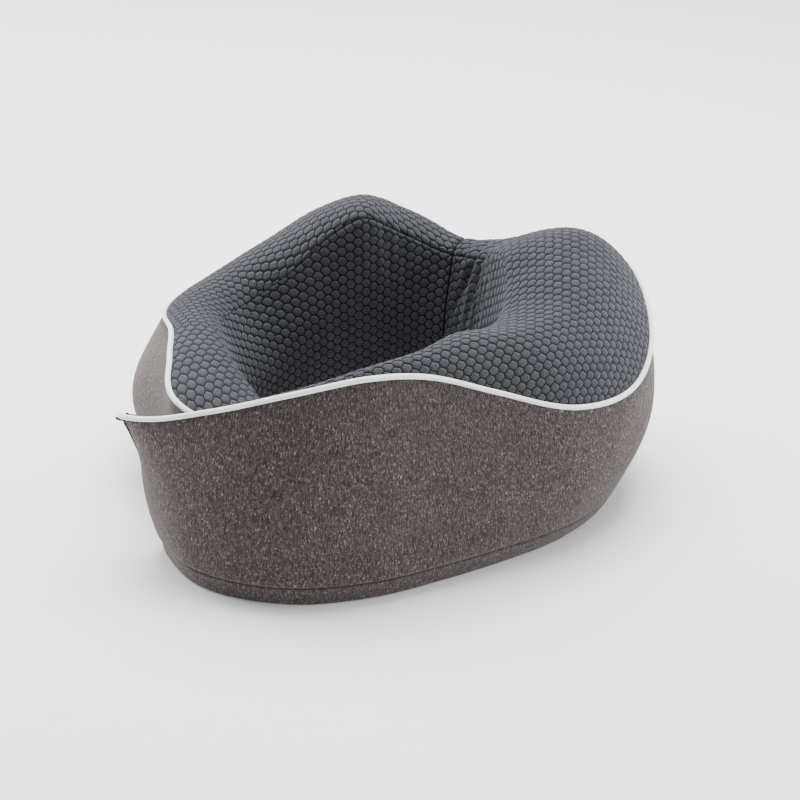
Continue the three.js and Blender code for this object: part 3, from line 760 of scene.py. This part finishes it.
def base_lift(sections, lengths, uv):
    to_seam = sections.marks["seam"][:, None] - seam_gap(sections)[:, None] - lengths + 0.15
    sink = turned_edge(to_seam, 2.0, 1.0) + turned_edge(lengths, 2.6, 1.8)
    return 0.25 * smooth(lengths, sections.marks["edge"][:, None], sections.marks["seam"][:, None]) - sink - end_seam(sections)


ALONG = {"right": 433, "left": 401}
for side in ("left", "right"):
    arm = Sections(arm_angles(side, ALONG[side]))
    start, rim, end = arm.marks["piping"] + 0.7, arm.marks["rim"], arm.marks["end"] - 0.2
    build_panel(f"top_panel_{side}", HONEYCOMB, arm, start, rim, 113, top_uv, top_lift, knit_edge)
    build_panel(f"collar_panel_{side}", HONEYCOMB, arm, rim, end, 145, collar_uv, collar_lift, knit_edge)

hoop = Sections(np.linspace(-ARM_END["left"], ARM_END["right"], 801))
seam, gap = hoop.marks["seam"], seam_gap(hoop)
build_panel("outer_band", HEATHER, hoop, seam + gap, hoop.marks["piping"] - 0.7, 65, band_uv, band_lift, base_seam_edge)
build_panel("base_panel", HEATHER, hoop, 0.2 + 0 * seam, seam - gap, 49, band_uv, base_lift, base_seam_edge)


# ---------------------------------------------------------------- piping


def ring_normals(rings):
    """The outward normals of a run of closed rings."""
    n = np.cross(np.gradient(rings, axis=0), np.roll(rings, -1, 1) - np.roll(rings, 1, 1))
    out = np.sum(n * (rings - rings.mean(1, keepdims=True)), axis=-1).mean()
    return np.sign(out) * n / np.maximum(np.linalg.norm(n, axis=-1, keepdims=True), 1e-12)


def tube(name, centres, radius, sides, angles, material):
    """A round tube whose rings stand in the upright planes of their angles, closed by round ends."""
    a = np.radians(angles)
    turn = np.linspace(0, 2 * math.pi, sides, endpoint=False)
    out = np.stack([np.sin(a), np.cos(a), 0 * a], -1)
    up = np.array([0.0, 0.0, 1.0])
    n = len(centres)
    ring = out[:, None, :] * np.cos(turn)[None, :, None] + up * np.sin(turn)[None, :, None]
    step = np.linalg.norm(np.diff(centres, axis=0), axis=1)
    along = np.concatenate([[0], np.cumsum(step)]) / MM
    to_end = np.minimum(along, along[-1] - along)
    size = radius * np.sqrt(np.clip(1 - (1 - np.clip(to_end / radius, 0, 1)) ** 2, 0.02, 1))
    points = centres[:, None, :] + ring * (size * MM)[:, None, None]
    uv = np.stack([np.broadcast_to(along[:, None], (n, sides)), np.broadcast_to(turn * radius, (n, sides))], -1)
    shade = ring_normals(points)
    for where, rows in stretches(angles):
        faces = closed_faces(points[rows])
        piece = make_object(part_name(name, where), points[rows], faces, material, uv[rows], normals=shade[rows])
        attach(piece, where, sides_of(name, where))


def flipped(faces):
    return [face[::-1] for face in faces]


def closed_faces(rings, offset=0, flip=False):
    n, m = rings.shape[:2]
    faces = quads(n, m, offset, closed=True)
    faces += [[offset + k for k in range(m)][::-1], [offset + (n - 1) * m + k for k in range(m)]]
    return flipped(faces) if flip else faces


pipe_sections = Sections(np.linspace(-ARM_END["left"], ARM_END["right"], 1101))
pipe_r, pipe_z = pipe_sections.at(pipe_sections.marks["piping"][:, None])
line = pipe_sections.place(pipe_r + 0.35, pipe_z + 0.14)[:, 0]
tube("piping_sleeve", line, PIPING_RADIUS, 18, pipe_sections.angles, PIPING)
tube("piping_cord", line[4:-4:2], 0.9, 10, pipe_sections.angles[4:-4:2], FILLER)


# ---------------------------------------------------------------- foam core and its liner


def sack(sections, depth, nose):
    """A closed form at a depth under the surface, with its two ends rounded off. Returns its rings."""
    samples = 96
    f = np.linspace(0, 1, samples, endpoint=False)[None, :]
    r, z = sections.at(sections.marks["end"][:, None] * f)
    r, z = sections.inset(r, z, depth)
    first, last = sections.angles[0], sections.angles[-1]
    to_end = np.minimum(sections.angles - first, last - sections.angles)
    t = np.clip(1 - to_end / nose, 0, 1)
    share = np.sqrt(np.clip(1 - t * t, 0.01, 1))[:, None]
    mid_r, mid_z = r.mean(1, keepdims=True), z.mean(1, keepdims=True)
    return sections.place(mid_r + (r - mid_r) * share, mid_z + (z - mid_z) * share)


def ring_uv(rings):
    n, m = rings.shape[:2]
    along = np.linspace(0, 900, n)[:, None]
    return np.stack(np.broadcast_arrays(along, np.linspace(0, 300, m)[None, :]), -1)


core_sections = Sections(np.linspace(-CORE_END["left"], CORE_END["right"], 281))
core_rings = sack(core_sections, CORE_DEPTH, 6.0)
core_uv = ring_uv(core_rings)
for where, rows in stretches(core_sections.angles):
    core = make_object(part_name("foam_core", where), core_rings[rows], closed_faces(core_rings[rows]), FOAM, core_uv[rows])
    attach(core, where, sides_of("foam_core", where))

liner_sections = Sections(np.linspace(-LINER_END["left"], LINER_END["right"], 281))
outside, inside = (sack(liner_sections, depth, 6.0) for depth in LINER_DEPTHS)
liner_uv = ring_uv(outside)
for where, rows in stretches(liner_sections.angles):
    n, m = outside[rows].shape[:2]
    liner_faces = quads(n, m, closed=True) + quads(n, m, offset=n * m, flip=True, closed=True)
    for row, real_end, outward in ((0, rows.start == 0, True), (n - 1, rows.stop == len(outside), False)):
        ring = [row * m + k for k in range(m)]
        if real_end:
            caps = [ring[::-1], [k + n * m for k in ring]]
        else:
            caps = [[ring[k - 1] + n * m, ring[k] + n * m, ring[k], ring[k - 1]] for k in range(m)]
        liner_faces += caps if outward else flipped(caps)
    liner_points = np.concatenate([outside[rows].reshape(-1, 3), inside[rows].reshape(-1, 3)])
    both_uv = np.concatenate([liner_uv[rows].reshape(-1, 2)] * 2)
    liner = make_object(part_name("inner_liner", where), liner_points, liner_faces, LINER, both_uv)
    attach(liner, where, sides_of("inner_liner", where))


# ---------------------------------------------------------------- zip

ZIP_ORIGIN = (29.47, 33.8)
COIL_PITCH = 1.5
COIL_WIRE = 0.33
COIL_OVAL = (0.72, 1.4)
COIL_MIDDLE = (-1.15, 1.25)
SLIDER_ANGLE = 10.1
PIN_HEIGHT = 3.1


def zip_basis(angle):
    """A frame on the zip's line, in mm: its origin, along the zip, out of the wall, and up the leaning wall."""
    a = np.radians(np.asarray(angle, float))
    radial = np.stack([np.sin(a), np.cos(a), 0 * a], -1)
    up = np.array([0.0, 0.0, 1.0])
    rise = radial * math.sin(ZIP_LEAN) + up * math.cos(ZIP_LEAN)
    out = radial * math.cos(ZIP_LEAN) - up * math.sin(ZIP_LEAN)
    origin = radial * ZIP_RADIUS + np.array([*ZIP_ORIGIN, SEAM_HEIGHT])
    return origin, np.cross(out, rise), out, rise


def zip_coil(name, direction):
    """One side of the zip: a nylon wire wound in ovals whose noses reach between those of the other side."""
    start, end = ZIP_RANGE
    turns = int(math.radians(end - start) * ZIP_RADIUS / COIL_PITCH)
    t = np.linspace(0, turns, turns * 14 + 1)
    phase = 2 * math.pi * t + (0 if direction > 0 else math.pi)
    origin, _, out, rise = zip_basis(start + (end - start) * t / turns)
    depth = COIL_MIDDLE[0] + COIL_OVAL[0] * np.sin(phase)
    across = direction * (COIL_MIDDLE[1] + COIL_OVAL[1] * np.cos(phase))
    path = origin + out * depth[:, None] + rise * across[:, None]
    heading = np.gradient(path, axis=0)
    heading /= np.linalg.norm(heading, axis=1, keepdims=True)
    side = np.cross(heading, np.cross(out, rise))
    side /= np.linalg.norm(side, axis=1, keepdims=True)
    other = np.cross(heading, side)
    turn = np.linspace(0, 2 * math.pi, 6, endpoint=False)[None, :, None]
    points = path[:, None] + COIL_WIRE * (side[:, None] * np.cos(turn) + other[:, None] * np.sin(turn))
    return make_object(name, points * MM, closed_faces(points), NYLON)


def slab(half_x, half_y, levels, power=4.0, sides=40):
    """A rounded plate, as rings of (inset, height) that follow a rounded rectangle."""
    t = np.linspace(0, 2 * math.pi, sides, endpoint=False)
    c, s = np.cos(t), np.sin(t)
    x, y = np.sign(c) * np.abs(c) ** (2 / power), np.sign(s) * np.abs(s) ** (2 / power)
    return np.array([np.stack([(half_x - i) * x, (half_y - i) * y, 0 * x + h], -1) for i, h in levels])


def bushing(inner, outer, half_width, bevel=0.2, sides=32):
    """A short tube round the third axis, as closed rings of its profile."""
    t = np.linspace(0, 2 * math.pi, sides, endpoint=False)
    profile = [(inner, half_width - bevel), (inner + bevel, half_width), (outer - bevel, half_width), (outer, half_width - bevel)]
    profile += [(r, -w) for r, w in profile[::-1]]
    return np.array([np.stack([r * np.cos(t), r * np.sin(t), 0 * t + w], -1) for r, w in profile[::-1]])


def metal_piece(name, body, parts):
    """Joins plates and bushings, each given as rings in (along, out, up) mm, into one piece that rides on a body."""
    origin, along, out, rise = zip_basis(SLIDER_ANGLE)
    points, faces, count = [], [], 0
    for rings, looped in parts:
        n, m = rings.shape[:2]
        if looped:
            more = quads(n + 1, m, closed=True)
            more = [[k % (n * m) for k in face] for face in more]
        else:
            more = closed_faces(rings)
        faces += [[k + count for k in face] for face in more]
        points.append(rings.reshape(-1, 3))
        count += n * m
    local = np.concatenate(points)
    world = origin + local[:, :1] * along + local[:, 1:2] * out + local[:, 2:] * rise
    piece = make_object(name, world * MM, faces, METAL)
    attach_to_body(piece, body)
    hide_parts(body)
    return piece


def lying(rings, shift=(0, 0, 0)):
    """Turns rings so that their height runs out of the wall."""
    return rings[..., [0, 2, 1]] * np.array([1, 1, -1]) + np.array(shift)


def upright(rings, shift=(0, 0, 0)):
    return rings + np.array(shift)


slider_parts = [
    (lying(slab(4.4, 3.1, [(0.5, 0.1), (0, 0.35), (0, 0.85), (0.4, 1.2), (1.1, 1.35)], 3.2)), False),
    (lying(slab(2.5, 0.35, [(0, -2.8), (0, 0.6)])), False),
    (lying(slab(3.6, 1.7, [(0.2, -3.2), (0, -3.05), (0, -2.65), (0.2, -2.5)])), False),
]
for aside in (-2.5, 2.5):
    ear = slab(1.2, 1.65, [(0.2, -0.3), (0, -0.12), (0, 0.12), (0.2, 0.3)], 3.0)
    slider_parts.append((upright(ear, (0, 2.45, aside)), False))
slider_parts.append((upright(slab(0.6, 0.6, [(0.15, -2.85), (0, -2.7), (0, 2.7), (0.15, 2.85)], 2.0), (0, PIN_HEIGHT, 0)), False))
pull_levels = [(0.3, -0.45), (0, -0.25), (0, 0.25), (0.25, 0.45), (0.75, 0.45), (0.95, 0.2)]
pull_parts = [
    (upright(bushing(0.95, 1.55, 1.9), (0, PIN_HEIGHT, 0)), True),
    (lying(slab(9.5, 1.9, pull_levels, 4.5), (10.5, PIN_HEIGHT, 0)), False),
]
slider = metal_piece("slider_body", "zip_slider", slider_parts)
pull = metal_piece("pull_tab", "zip_pull", pull_parts)
for direction, node in ((1, "zip_coil_band"), (-1, "zip_coil_base")):
    coil = zip_coil(node + "_wire", direction)
    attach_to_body(coil, "right_half")
    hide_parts(node)
for name in ("zip_tape_band", "zip_tape_base"):
    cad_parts[name].data.materials[0] = TAPE
for name in ("zip_top_stop", "zip_bottom_stop"):
    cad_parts[name].data.materials[0] = METAL


# ---------------------------------------------------------------- stage, light and camera

TARGET = Vector((0.0214, -0.0034, 0.060))
AZIMUTH = math.radians(28)
ELEVATION = math.radians(27)
DISTANCE = 1.2


def add_stage():
    bpy.ops.mesh.primitive_plane_add(size=12, location=(0, 0, 0))
    floor = bpy.context.object
    floor.name = "floor"
    g = Graph("floor_paper")
    grain = g.noise(g.place(), 60.0, 3.0, 0.6)
    floor.data.materials.append(g.finish(g.mix(grain, (0.90, 0.90, 0.90), (0.93, 0.93, 0.93)), 0.85, specular=0.1))


def add_light(name, location, size, power, aim=(0, 0, 0.05)):
    data = bpy.data.lights.new(name, "AREA")
    data.shape = "RECTANGLE"
    data.size, data.size_y = size
    data.energy = power
    lamp = bpy.data.objects.new(name, data)
    lamp.location = location
    lamp.rotation_euler = (Vector(aim) - Vector(location)).to_track_quat("-Z", "Y").to_euler()
    bpy.context.scene.collection.objects.link(lamp)


def add_camera():
    data = bpy.data.cameras.new("camera")
    data.lens = 99.9
    data.sensor_width = 36
    camera = bpy.data.objects.new("camera", data)
    back = Vector((math.sin(AZIMUTH) * math.cos(ELEVATION), -math.cos(AZIMUTH) * math.cos(ELEVATION), math.sin(ELEVATION)))
    camera.location = TARGET + back * DISTANCE
    camera.rotation_euler = back.to_track_quat("Z", "Y").to_euler()
    bpy.context.scene.collection.objects.link(camera)
    bpy.context.scene.camera = camera


add_stage()
add_light("key", (-0.15, 0.4, 1.3), (1.1, 0.9), 52)
add_light("left", (-1.25, -0.05, 0.45), (0.7, 0.7), 22)
add_light("right", (1.15, 0.4, 0.4), (0.5, 0.6), 12)
world = bpy.data.worlds.new("studio")
world.use_nodes = True
world.node_tree.nodes["Background"].inputs["Color"].default_value = (1, 1, 1, 1)
world.node_tree.nodes["Background"].inputs["Strength"].default_value = 0.85
bpy.context.scene.world = world
add_camera()
